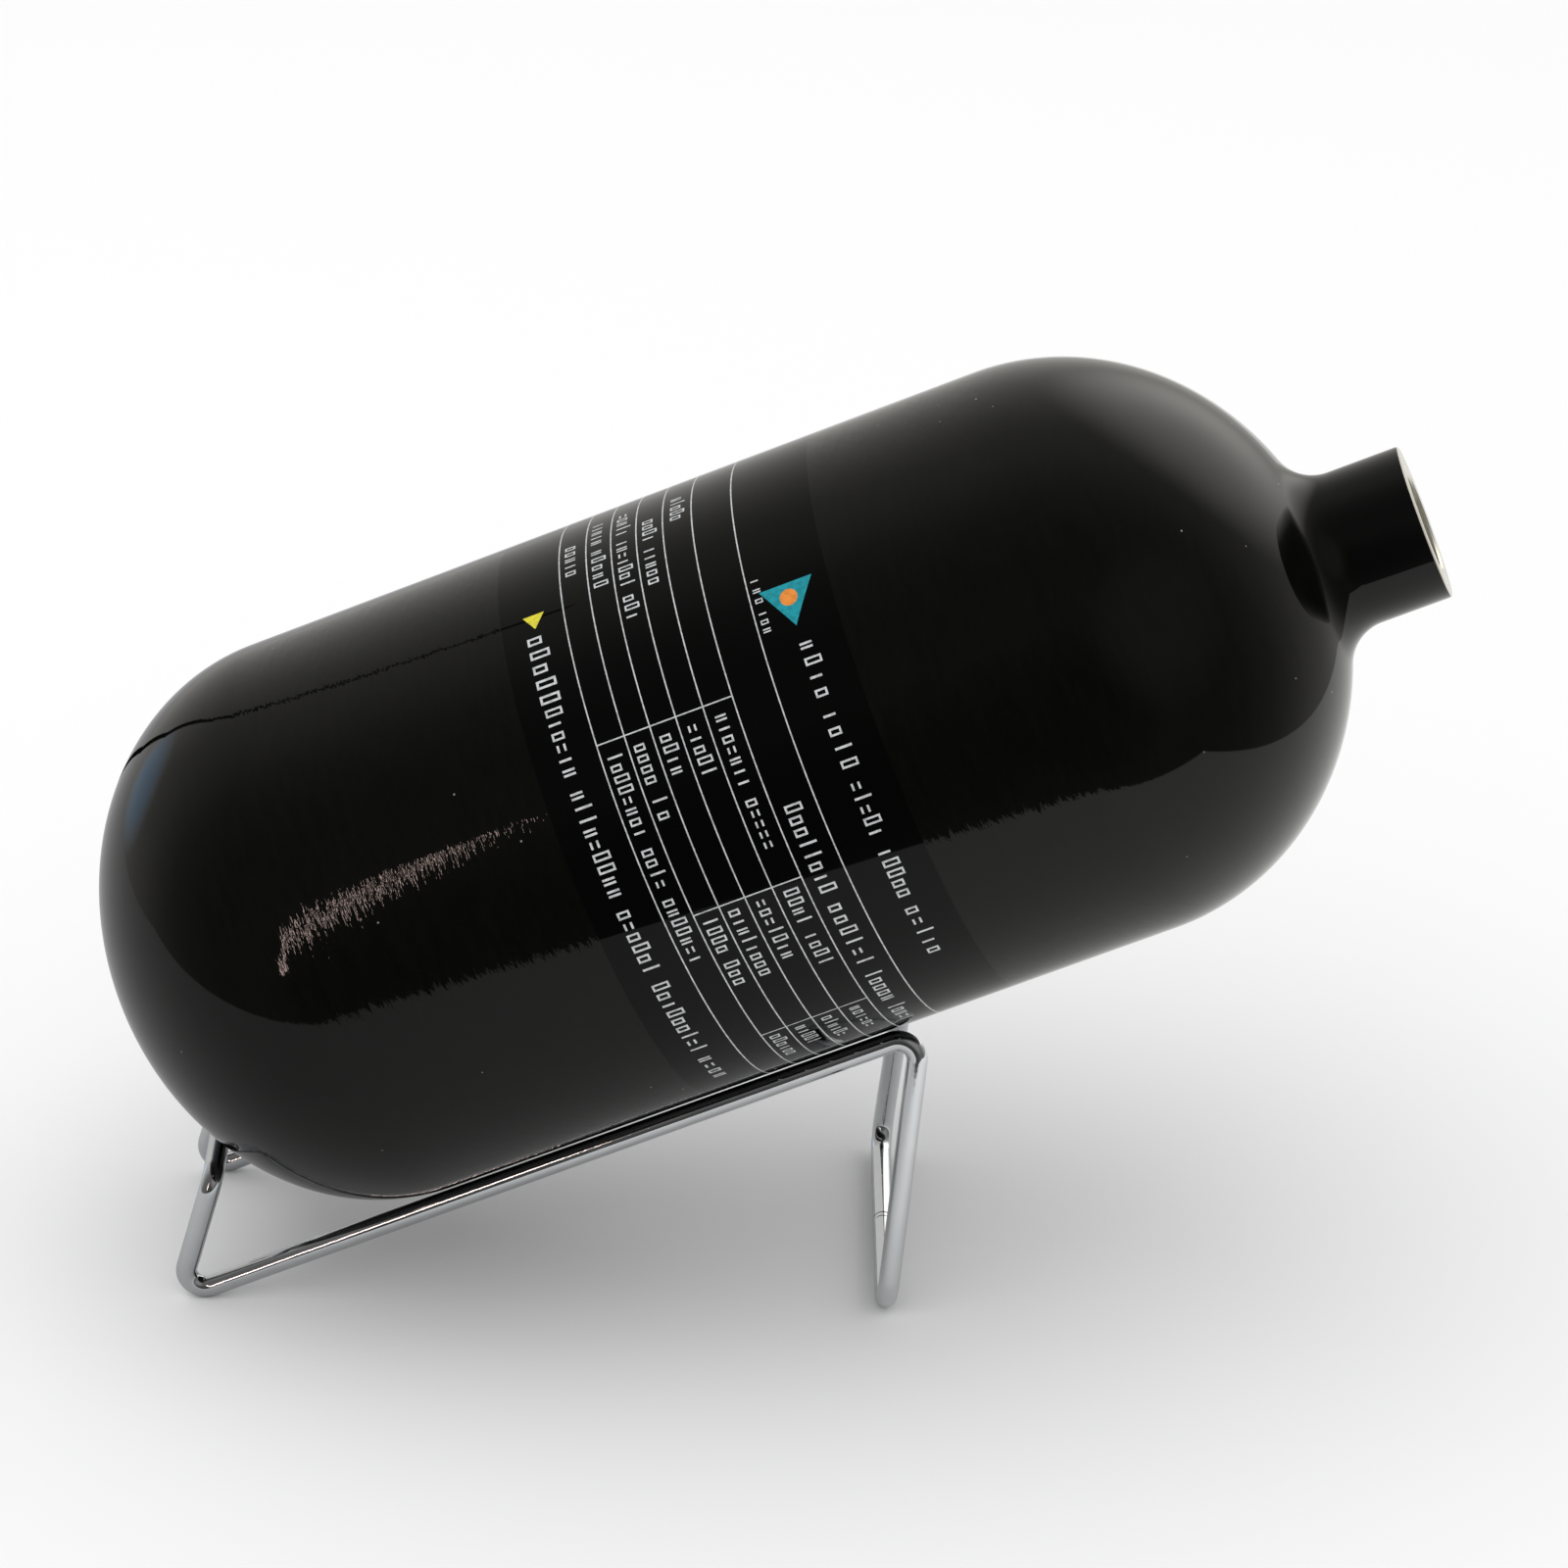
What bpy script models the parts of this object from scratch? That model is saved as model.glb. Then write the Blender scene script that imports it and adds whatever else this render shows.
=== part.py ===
"""Breathing-air cylinder, 2.7 litres, on its bent-wire display stand.

The cylinder is an aluminium liner wound in carbon and glass fibre (a type III
composite cylinder), with an open threaded neck. It lies in the stand's two
rails, neck end raised, and its base dome leans on the stand's back bar.

Axes: +Z up, +X towards the neck end. The origin is on the floor, under the
middle of the whole object. Lengths are in metres.
"""

import math

import bmesh
import bpy
from mathutils import Matrix, Vector

MM = 0.001

# Cylinder, outside
BARREL_RADIUS = 65.5 * MM
BARREL_LENGTH = 175.5 * MM
BASE_DOME_HEIGHT = 55.5 * MM
SHOULDER_DOME_HEIGHT = 60.5 * MM

# Neck, with an M18x1.5 thread cut at its full diameter and an O-ring seat.
# Its reach is how far its end stands beyond the shoulder dome's full height.
NECK_RADIUS = 17.6 * MM
NECK_REACH = 21.5 * MM
NECK_FILLET = 10.0 * MM
NECK_END_CHAMFER = 0.6 * MM
NECK_SOCKET_DEPTH = 34.0 * MM
BORE_RADIUS = 9.0 * MM
SEAT_RADIUS = 11.3 * MM
SEAT_DEPTH = 2.6 * MM
SEAT_CHAMFER = 0.5 * MM

# Wall build-up, from the gas outwards
LINER_WALL = 2.3 * MM
LINER_DOME_WALL = 3.4 * MM
BARRIER_THICKNESS = 0.3 * MM
HOOP_THICKNESS = 0.6 * MM
HELICAL_THICKNESS = 0.6 * MM
GLASS_THICKNESS = 0.8 * MM
WRAP_EDGE = 0.5 * MM
HOOP_END_MARGIN = 3.0 * MM

# Label film, laid in a shallow recess of the glass wrap
LABEL_SETBACK = 64.2 * MM
LABEL_LENGTH = 73.3 * MM
LABEL_THICKNESS = 0.2 * MM

# Stand
WIRE_RADIUS = 2.4 * MM
RAIL_SPACING = 57.0 * MM
RAIL_LENGTH = 183.0 * MM
RAIL_SLOPE = math.radians(22.3)
RISER_LENGTH = 33.0 * MM
RISER_SLOPE = math.radians(73.5)
FOOT_SPACING = 78.0 * MM
FOOT_SETBACK = 7.5 * MM
BEND_RADIUS = 4.2 * MM
FOOT_BEND_RADIUS = 6.5 * MM
WELD_WIDTH = 1.4 * MM

# Clearance between pieces that touch
GAP = 0.3 * MM

# Facets
ROUND_STEPS = 40
DOME_STEPS = 6
FILLET_STEPS = 5
BEND_STEPS = 4
WIRE_SIDES = 12


def clear_scene():
    """Remove every object that the scene holds."""
    for obj in list(bpy.data.objects):
        bpy.data.objects.remove(obj, do_unlink=True)


def make_collection(name):
    """Add a collection to the scene."""
    collection = bpy.data.collections.new(name)
    bpy.context.scene.collection.children.link(collection)
    return collection


def make_material(name, colour, roughness, metallic):
    """Return a plain Principled material."""
    material = bpy.data.materials.new(name)
    material.use_nodes = True
    shader = material.node_tree.nodes["Principled BSDF"]
    shader.inputs["Base Color"].default_value = (*colour, 1.0)
    shader.inputs["Roughness"].default_value = roughness
    shader.inputs["Metallic"].default_value = metallic
    return material


# The wall's layers, each as (depth of its outer face, depth of its inner face)
# below the cylinder's outer surface.
GLASS_LAYER = (0.0, GLASS_THICKNESS)
HELICAL_LAYER = (GLASS_LAYER[1] + GAP, GLASS_LAYER[1] + GAP + HELICAL_THICKNESS)
HOOP_LAYER = (HELICAL_LAYER[1] + GAP, HELICAL_LAYER[1] + GAP + HOOP_THICKNESS)
BARRIER_LAYER = (HOOP_LAYER[1] + GAP, HOOP_LAYER[1] + GAP + BARRIER_THICKNESS)
LINER_DEPTH = BARRIER_LAYER[1] + GAP

# Stations along the cylinder's axis, from the tip of the base dome
BARREL_START = BASE_DOME_HEIGHT
BARREL_END = BARREL_START + BARREL_LENGTH
OVERALL_LENGTH = BARREL_END + SHOULDER_DOME_HEIGHT + NECK_REACH
LABEL_START = BARREL_START + LABEL_SETBACK
POLAR_RADIUS = NECK_RADIUS + GAP
NECK_INNER_END = OVERALL_LENGTH - NECK_SOCKET_DEPTH


def base_dome(depth, axial_depth=None):
    """Points (radius, station) of the base dome's surface at a depth, barrel to tip."""
    height = BASE_DOME_HEIGHT - (depth if axial_depth is None else axial_depth)
    radius = BARREL_RADIUS - depth
    points = []
    for step in range(DOME_STEPS + 1):
        turn = 0.5 * math.pi * step / DOME_STEPS
        points.append((radius * math.cos(turn), BARREL_START - height * math.sin(turn)))
    points[-1] = (0.0, BARREL_START - height)
    return points


def shoulder_dome(depth, end_radius, axial_depth=None):
    """Points (radius, station) of the shoulder's surface at a depth, neck to barrel."""
    height = SHOULDER_DOME_HEIGHT - (depth if axial_depth is None else axial_depth)
    radius = BARREL_RADIUS - depth
    first = math.acos(end_radius / radius)
    points = []
    for step in range(DOME_STEPS + 1):
        turn = first * (1.0 - step / DOME_STEPS)
        points.append((radius * math.cos(turn), BARREL_END + height * math.sin(turn)))
    return points


def shoulder_distance(radius, station):
    """Distance from a point to the outer shoulder surface, and that surface's turn there."""
    nearest = None
    for step in range(2001):
        turn = 0.5 * math.pi * step / 2000
        across = BARREL_RADIUS * math.cos(turn) - radius
        along = BARREL_END + SHOULDER_DOME_HEIGHT * math.sin(turn) - station
        distance = math.hypot(across, along)
        if nearest is None or distance < nearest[0]:
            nearest = (distance, turn)
    return nearest


def neck_fillet():
    """Centre (radius, station) of the fillet from neck to shoulder, and where it starts."""
    radius = POLAR_RADIUS + NECK_FILLET
    on_dome = SHOULDER_DOME_HEIGHT * math.sqrt(1.0 - (radius / BARREL_RADIUS) ** 2)
    low = BARREL_END + on_dome
    high = low + 2.0 * NECK_FILLET
    for _ in range(40):
        station = 0.5 * (low + high)
        if shoulder_distance(radius, station)[0] < NECK_FILLET:
            low = station
        else:
            high = station
    return (radius, station), shoulder_distance(radius, station)[1]


def outer_shoulder():
    """Points (radius, station) of the visible shoulder: neck edge, fillet, dome, barrel."""
    (centre_radius, centre_station), dome_turn = neck_fillet()
    edge_radius = POLAR_RADIUS + WRAP_EDGE
    first = math.acos((centre_radius - edge_radius) / NECK_FILLET)
    tangent_radius = BARREL_RADIUS * math.cos(dome_turn)
    tangent_station = BARREL_END + SHOULDER_DOME_HEIGHT * math.sin(dome_turn)
    last = math.atan2(centre_station - tangent_station, centre_radius - tangent_radius)
    points = []
    for step in range(FILLET_STEPS):
        turn = first + (last - first) * step / FILLET_STEPS
        radius = centre_radius - NECK_FILLET * math.cos(turn)
        points.append((radius, centre_station - NECK_FILLET * math.sin(turn)))
    for step in range(DOME_STEPS + 1):
        turn = dome_turn * (1.0 - step / DOME_STEPS)
        radius = BARREL_RADIUS * math.cos(turn)
        points.append((radius, BARREL_END + SHOULDER_DOME_HEIGHT * math.sin(turn)))
    return points


def layer_profile(layer):
    """Profile of a wrap that covers barrel and both domes, open at the neck."""
    outer, inner = layer
    profile = shoulder_dome(outer, POLAR_RADIUS) + base_dome(outer)
    inside = shoulder_dome(inner, POLAR_RADIUS) + base_dome(inner)
    return list(reversed(inside)) + profile


def glass_profile():
    """Profile of the outer wrap, with the neck fillet and the label's recess."""
    recess_radius = BARREL_RADIUS - LABEL_THICKNESS - GAP
    recess = [
        (BARREL_RADIUS, LABEL_START + LABEL_LENGTH + GAP),
        (recess_radius, LABEL_START + LABEL_LENGTH + GAP),
        (recess_radius, LABEL_START - GAP),
        (BARREL_RADIUS, LABEL_START - GAP),
    ]
    shoulder = outer_shoulder()
    inner = GLASS_LAYER[1]
    inside = shoulder_dome(inner, POLAR_RADIUS) + base_dome(inner)
    neck_edge = [(POLAR_RADIUS, shoulder[0][1])]
    return list(reversed(inside)) + neck_edge + shoulder + recess + base_dome(0.0)


def liner_profile():
    """Profile of the liner's vessel, open at the neck."""
    outside = shoulder_dome(LINER_DEPTH, POLAR_RADIUS) + base_dome(LINER_DEPTH)
    wall_depth = LINER_DEPTH + LINER_WALL
    dome_depth = LINER_DEPTH + LINER_DOME_WALL
    inside = shoulder_dome(wall_depth, POLAR_RADIUS, dome_depth) + base_dome(wall_depth, dome_depth)
    return list(reversed(inside)) + outside


def ring_profile(outer_radius, inner_radius, start, end):
    """Closed profile of a plain ring."""
    return [(outer_radius, end), (outer_radius, start), (inner_radius, start), (inner_radius, end)]


def neck_profile():
    """Closed profile of the neck: seat for the O-ring, then the threaded bore."""
    top = OVERALL_LENGTH
    seat_floor = top - SEAT_DEPTH
    return [
        (NECK_RADIUS - NECK_END_CHAMFER, top),
        (NECK_RADIUS, top - NECK_END_CHAMFER),
        (NECK_RADIUS, NECK_INNER_END),
        (BORE_RADIUS + SEAT_CHAMFER, NECK_INNER_END),
        (BORE_RADIUS, NECK_INNER_END + SEAT_CHAMFER),
        (BORE_RADIUS, seat_floor - SEAT_CHAMFER),
        (BORE_RADIUS + SEAT_CHAMFER, seat_floor),
        (SEAT_RADIUS, seat_floor),
        (SEAT_RADIUS, top - SEAT_CHAMFER),
        (SEAT_RADIUS + SEAT_CHAMFER, top),
    ]


def turned(name, profile, closed, material, collection, parent):
    """Turn a profile of (radius, station) about the cylinder's axis, as one object."""
    mesh = bpy.data.meshes.new(name)
    shape = bmesh.new()
    rim = [shape.verts.new((radius, 0.0, station)) for radius, station in profile]
    for first, second in zip(rim, rim[1:]):
        shape.edges.new((first, second))
    if closed:
        shape.edges.new((rim[-1], rim[0]))
    shape.to_mesh(mesh)
    shape.free()
    obj = bpy.data.objects.new(name, mesh)
    collection.objects.link(obj)
    screw = obj.modifiers.new("turn", "SCREW")
    screw.axis = "Z"
    screw.angle = 2.0 * math.pi
    screw.steps = ROUND_STEPS
    screw.render_steps = ROUND_STEPS
    screw.use_merge_vertices = True
    screw.merge_threshold = 0.01 * MM
    screw.use_smooth_shade = True
    mesh.materials.append(material)
    obj.parent = parent
    return obj


def rounded_route(corners, steps):
    """Points along straight runs joined by arcs; corners are (point, bend radius)."""
    route = [corners[0][0]]
    for before, here, after in zip(corners, corners[1:], corners[2:]):
        point, radius = here
        arriving = (point - before[0]).normalized()
        leaving = (after[0] - point).normalized()
        turn = arriving.angle(leaving)
        start = point - arriving * radius * math.tan(0.5 * turn)
        inward = (leaving - arriving * arriving.dot(leaving)).normalized()
        centre = start + inward * radius
        for step in range(steps + 1):
            swing = turn * step / steps
            across = arriving * math.sin(swing) - inward * math.cos(swing)
            route.append(centre + across * radius)
    route.append(corners[-1][0])
    return route


def make_wire(name, route, radius, material, collection):
    """Sweep a round section along a route and return it as one closed mesh object."""
    curve = bpy.data.curves.new(name, "CURVE")
    curve.dimensions = "3D"
    curve.bevel_depth = radius
    curve.bevel_resolution = WIRE_SIDES // 4 - 1
    curve.use_fill_caps = True
    spline = curve.splines.new("POLY")
    spline.points.add(len(route) - 1)
    for target, point in zip(spline.points, route):
        target.co = (*point, 1.0)
    curve.materials.append(material)
    obj = bpy.data.objects.new(name, curve)
    collection.objects.link(obj)
    return obj


def side_point(distance, slope, side=0.0, origin=Vector((0.0, 0.0, 0.0))):
    """Point at a distance along a slope in the X-Z plane, moved sideways."""
    return origin + Vector((distance * math.cos(slope), side, distance * math.sin(slope)))


def rear_corner_height():
    """Height of the rear bend's sharp corner, with the bend itself resting on the floor."""
    half_angle = 0.5 * (RISER_SLOPE - RAIL_SLOPE)
    middle = 0.5 * (RISER_SLOPE + RAIL_SLOPE)
    centre_height = BEND_RADIUS / math.sin(half_angle) * math.sin(middle)
    return WIRE_RADIUS - (centre_height - BEND_RADIUS)


def axis_offset():
    """Distance from the rails' plane to the cylinder's axis."""
    reach = BARREL_RADIUS + WIRE_RADIUS + GAP
    return math.sqrt(reach**2 - (0.5 * RAIL_SPACING) ** 2)


def base_tip_station():
    """How far up the rails from the rear corner the base dome's tip lies.

    The cylinder slides down the rails until its base dome meets the back bar.
    """
    lean = RISER_SLOPE - RAIL_SLOPE
    bar_along = RISER_LENGTH * math.cos(lean)
    bar_below = axis_offset() - RISER_LENGTH * math.sin(lean)
    reach = WIRE_RADIUS + GAP
    low = bar_along - BASE_DOME_HEIGHT
    high = bar_along + BASE_DOME_HEIGHT
    for _ in range(40):
        tip = 0.5 * (low + high)
        nearest = min(
            math.hypot(
                BARREL_RADIUS * math.cos(turn) - bar_below,
                tip + BASE_DOME_HEIGHT * (1.0 - math.sin(turn)) - bar_along,
            )
            for turn in (0.5 * math.pi * step / 1000 for step in range(1001))
        )
        inside = (bar_below / BARREL_RADIUS) ** 2 + (
            (tip + BASE_DOME_HEIGHT - bar_along) / BASE_DOME_HEIGHT
        ) ** 2 < 1.0
        if inside or nearest < reach:
            low = tip
        else:
            high = tip
    return high


def cylinder_placement():
    """Matrix that lays the cylinder's axis (+Z before) on the rails, tip of base at its place."""
    corner = Vector((0.0, 0.0, rear_corner_height()))
    along = Vector((math.cos(RAIL_SLOPE), 0.0, math.sin(RAIL_SLOPE)))
    upward = Vector((-math.sin(RAIL_SLOPE), 0.0, math.cos(RAIL_SLOPE)))
    tip = corner + along * base_tip_station() + upward * axis_offset()
    return Matrix.Translation(tip) @ Matrix.Rotation(0.5 * math.pi - RAIL_SLOPE, 4, "Y")


def centring_shift(placement):
    """X shift that puts the origin under the middle of the whole object."""
    along = placement.to_3x3() @ Vector((0.0, 0.0, 1.0))
    tip = placement.to_translation()
    outline = outer_shoulder() + base_dome(0.0)
    outline.append((NECK_RADIUS, OVERALL_LENGTH - NECK_END_CHAMFER))
    outline.append((NECK_RADIUS - NECK_END_CHAMFER, OVERALL_LENGTH))
    reaches = [(tip.x + along.x * station, radius * along.z) for radius, station in outline]
    lowest = min(middle - spread for middle, spread in reaches)
    highest = max(middle + spread for middle, spread in reaches)
    return -0.5 * (lowest + highest)


def foot_bar_x(shift):
    """X of the floor bar under the rails' front ends."""
    return shift + RAIL_LENGTH * math.cos(RAIL_SLOPE) - FOOT_SETBACK


def stand_corners(shift):
    """Sharp corners of the wire loop and their bend radii, from weld to weld."""
    rear = Vector((shift, 0.0, rear_corner_height()))
    rail_half = 0.5 * RAIL_SPACING
    foot_half = 0.5 * FOOT_SPACING
    foot_x = foot_bar_x(shift)
    weld_half = 0.5 * WELD_WIDTH + GAP
    near = [
        (Vector((foot_x, -weld_half, WIRE_RADIUS)), 0.0),
        (Vector((foot_x, -foot_half, WIRE_RADIUS)), FOOT_BEND_RADIUS),
        (side_point(RAIL_LENGTH, RAIL_SLOPE, -rail_half, rear), BEND_RADIUS),
        (side_point(0.0, RAIL_SLOPE, -rail_half, rear), BEND_RADIUS),
        (side_point(RISER_LENGTH, RISER_SLOPE, -rail_half, rear), BEND_RADIUS),
    ]
    far = [(Vector((point.x, -point.y, point.z)), radius) for point, radius in reversed(near)]
    return near + far


def make_weld(shift, material, collection):
    """The butt weld, ground flush, that closes the wire loop in the middle of the floor bar."""
    mesh = bpy.data.meshes.new("butt_weld")
    shape = bmesh.new()
    bmesh.ops.create_cone(
        shape,
        cap_ends=True,
        segments=WIRE_SIDES,
        radius1=WIRE_RADIUS,
        radius2=WIRE_RADIUS,
        depth=WELD_WIDTH,
    )
    shape.to_mesh(mesh)
    shape.free()
    mesh.materials.append(material)
    obj = bpy.data.objects.new("butt_weld", mesh)
    obj.rotation_euler = (0.5 * math.pi, 0.0, 0.0)
    obj.location = (foot_bar_x(shift), 0.0, WIRE_RADIUS)
    collection.objects.link(obj)
    return obj


def build():
    """Model every piece of the cylinder and of its stand."""
    clear_scene()
    pieces = make_collection("breathing_air_cylinder_on_stand")
    aluminium = make_material("aluminium", (0.70, 0.71, 0.72), 0.35, 1.0)
    resin = make_material("barrier resin", (0.55, 0.50, 0.36), 0.5, 0.0)
    carbon = make_material("carbon fibre", (0.02, 0.02, 0.022), 0.35, 0.0)
    lacquer = make_material("black lacquered glass wrap", (0.01, 0.01, 0.01), 0.08, 0.0)
    film = make_material("label film", (0.016, 0.016, 0.018), 0.12, 0.0)
    chrome = make_material("chromed steel", (0.75, 0.76, 0.78), 0.06, 1.0)

    placement = cylinder_placement()
    shift = centring_shift(placement)
    axis = bpy.data.objects.new("cylinder_axis", None)
    axis.matrix_world = Matrix.Translation((shift, 0.0, 0.0)) @ placement
    pieces.objects.link(axis)

    turned("liner_vessel", liner_profile(), False, aluminium, pieces, axis)
    turned("liner_neck", neck_profile(), True, aluminium, pieces, axis)
    turned("galvanic_barrier", layer_profile(BARRIER_LAYER), False, resin, pieces, axis)
    hoop = ring_profile(
        BARREL_RADIUS - HOOP_LAYER[0],
        BARREL_RADIUS - HOOP_LAYER[1],
        BARREL_START + HOOP_END_MARGIN,
        BARREL_END - HOOP_END_MARGIN,
    )
    turned("carbon_hoop_wrap", hoop, True, carbon, pieces, axis)
    turned("carbon_helical_wrap", layer_profile(HELICAL_LAYER), False, carbon, pieces, axis)
    turned("glass_outer_wrap", glass_profile(), False, lacquer, pieces, axis)
    label = ring_profile(
        BARREL_RADIUS,
        BARREL_RADIUS - LABEL_THICKNESS,
        LABEL_START,
        LABEL_START + LABEL_LENGTH,
    )
    turned("label_film", label, True, film, pieces, axis)

    route = rounded_route(stand_corners(shift), BEND_STEPS)
    make_wire("stand_wire", route, WIRE_RADIUS, chrome, pieces)
    make_weld(shift, chrome, pieces)


build()
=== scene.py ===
"""Looks for a breathing-air cylinder that lies on a bent-wire display stand.

The cylinder is a black lacquered, fibre-wound vessel with a printed band and an
open threaded neck. The stand is one loop of bright chromed wire. Lengths are in
metres, in the CAD frame: +Z up, +X towards the neck end.
"""

import math
import random

import bmesh
import bpy
from mathutils import Euler, Matrix, Vector


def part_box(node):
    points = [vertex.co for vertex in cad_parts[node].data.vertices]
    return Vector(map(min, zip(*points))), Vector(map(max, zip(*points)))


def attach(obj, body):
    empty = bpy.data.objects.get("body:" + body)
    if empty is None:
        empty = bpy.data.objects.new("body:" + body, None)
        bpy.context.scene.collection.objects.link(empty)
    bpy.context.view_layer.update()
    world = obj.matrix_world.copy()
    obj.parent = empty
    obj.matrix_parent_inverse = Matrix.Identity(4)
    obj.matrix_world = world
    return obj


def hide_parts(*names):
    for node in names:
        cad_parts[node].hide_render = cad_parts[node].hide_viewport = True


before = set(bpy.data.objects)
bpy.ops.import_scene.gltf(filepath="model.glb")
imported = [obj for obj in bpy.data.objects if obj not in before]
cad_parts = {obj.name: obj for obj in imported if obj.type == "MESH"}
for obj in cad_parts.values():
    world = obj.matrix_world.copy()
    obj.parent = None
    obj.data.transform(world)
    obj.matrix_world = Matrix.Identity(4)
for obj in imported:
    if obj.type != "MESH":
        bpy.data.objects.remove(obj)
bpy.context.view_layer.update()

MM = 0.001

# Cylinder, outside
BARREL_RADIUS = 65.5 * MM
BARREL_START = 55.5 * MM
BARREL_LENGTH = 175.5 * MM
BARREL_END = BARREL_START + BARREL_LENGTH
SHOULDER_DOME_HEIGHT = 60.5 * MM
NECK_END = 313.0 * MM
WALL = 0.8 * MM

# Neck
NECK_RADIUS = 17.6 * MM
NECK_FILLET = 10.0 * MM
NECK_SOCKET_DEPTH = 34.0 * MM
NECK_CHAMFER = 0.6 * MM
BORE_RADIUS = 9.0 * MM
THREAD_PITCH = 1.5 * MM
THREAD_DEPTH = 0.81 * MM
SEAT_RADIUS = 11.3 * MM
SEAT_DEPTH = 2.6 * MM
SEAT_CHAMFER = 0.5 * MM

# Printed band
BAND_START = 119.7 * MM
BAND_END = 193.0 * MM
BAND_THICKNESS = 0.5 * MM
INK_LIFT = 0.015 * MM
INK_BODY = 0.3 * MM
MARK_PITCH = 0.72  # of a mark's height
WORD_GAP = 1.9  # of the pitch
PATCH_COLUMN = 0.6 * MM

# Stand
WIRE_RADIUS = 2.4 * MM
RAIL_SPACING = 57.0 * MM
RAIL_LENGTH = 183.0 * MM
RAIL_SLOPE = math.radians(22.3)
RISER_LENGTH = 33.0 * MM
RISER_SLOPE = math.radians(73.5)
FOOT_SPACING = 78.0 * MM
FOOT_SETBACK = 7.5 * MM
BEND_RADIUS = 4.2 * MM
FOOT_BEND_RADIUS = 6.5 * MM
WELD_HALF = 1.0 * MM

# Gloss of the clear coats. Both are below the resins' own 1.5, so that the black
# stays deep in a bright room.
LACQUER_IOR = 1.33
RESIN_IOR = 1.27

# Smoothness
TURN_STEPS = 240
DOME_STEPS = 40
FILLET_STEPS = 14
BEND_STEPS = 16
WIRE_SIDES = 40
ON_AXIS_LIMIT = 0.001 * MM
MERGE_DISTANCE = 0.0005 * MM

# How finely the neck's fillet is sought
SEARCH_STEPS = 2000
HALVINGS = 40


def middle(node):
    """Centre of a CAD node's box."""
    low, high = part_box(node)
    return 0.5 * (low + high)


# The cylinder's own frame: Z runs along its axis from the tip of the base dome,
# X points down and Y away from the viewer.
HOOP_MIDDLE = middle("carbon_hoop_wrap")
AXIS = (middle("liner_neck") - HOOP_MIDDLE).normalized()
BASE_TIP = HOOP_MIDDLE - AXIS * (BARREL_START + 0.5 * BARREL_LENGTH)
AXIS_TURN = Euler((0.0, math.atan2(AXIS.x, AXIS.z), 0.0))
ON_AXIS = Matrix.Translation(BASE_TIP) @ AXIS_TURN.to_matrix().to_4x4()


# ---------------------------------------------------------------- nodes


def linear(hex_colour):
    """Linear RGBA of an sRGB hex colour such as '#1a1a17'."""
    channels = [int(hex_colour[i : i + 2], 16) / 255.0 for i in (1, 3, 5)]
    return (*(c / 12.92 if c <= 0.04045 else ((c + 0.055) / 1.055) ** 2.4 for c in channels), 1.0)


def add_node(tree, kind, settings=None, inputs=None):
    """Add a node; inputs are values, sockets, or nodes linked from their first live output."""
    made = tree.nodes.new(kind)
    for name, value in (settings or {}).items():
        setattr(made, name, value)
    for key, value in (inputs or {}).items():
        if isinstance(value, bpy.types.Node):
            value = next(socket for socket in value.outputs if socket.enabled)
        if isinstance(value, bpy.types.NodeSocket):
            tree.links.new(value, made.inputs[key])
        else:
            made.inputs[key].default_value = value
    return made


def new_material(name):
    """An empty material and its tree."""
    material = bpy.data.materials.new(name)
    material.use_nodes = True
    material.node_tree.nodes.clear()
    return material, material.node_tree


def on_cylinder(tree):
    """Object coordinates turned into the cylinder's own frame, in metres."""
    place = add_node(tree, "ShaderNodeTexCoord")
    return add_node(tree, "ShaderNodeMapping", {"vector_type": "TEXTURE"}, {
        "Vector": place.outputs["Object"], "Location": BASE_TIP, "Rotation": AXIS_TURN
    })


# ---------------------------------------------------------------- finishes


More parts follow.
